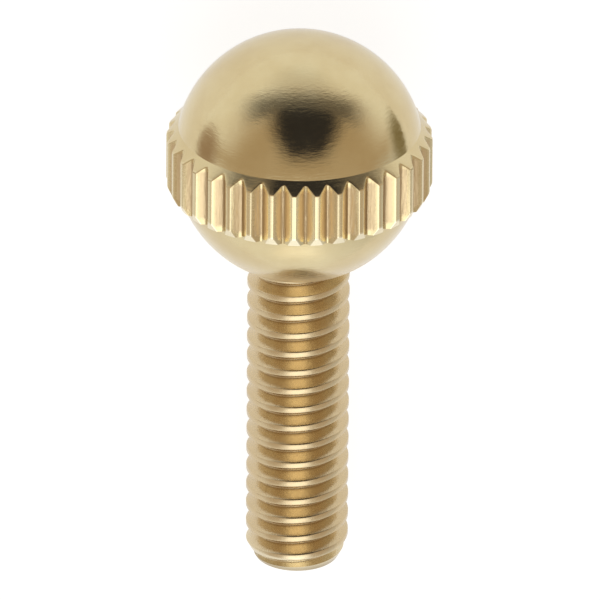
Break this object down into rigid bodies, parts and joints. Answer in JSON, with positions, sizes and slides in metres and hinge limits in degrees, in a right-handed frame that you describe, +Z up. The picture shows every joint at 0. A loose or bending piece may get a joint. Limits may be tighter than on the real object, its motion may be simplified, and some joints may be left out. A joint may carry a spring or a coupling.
{
  "type": "thumb screw",
  "caption": "Brass thumb screw with a ball head, a straight-knurled band around it and a threaded shank with a bevelled tip, turned by finger and thumb.",
  "frame": {"origin": "on the floor, below the middle of the box around the screw as it lies", "axes": "+Z up from the floor the screw lies on; the head is towards +X and the tip towards -X, with the screw's axis in the XZ plane"},
  "size_m": [0.0218, 0.01, 0.0102],
  "materials": {
    "brass": "polished, with fine turning marks"
  },
  "bodies": {
    "root": {"thumb_screw": "brass"}
  },
  "joints": []
}
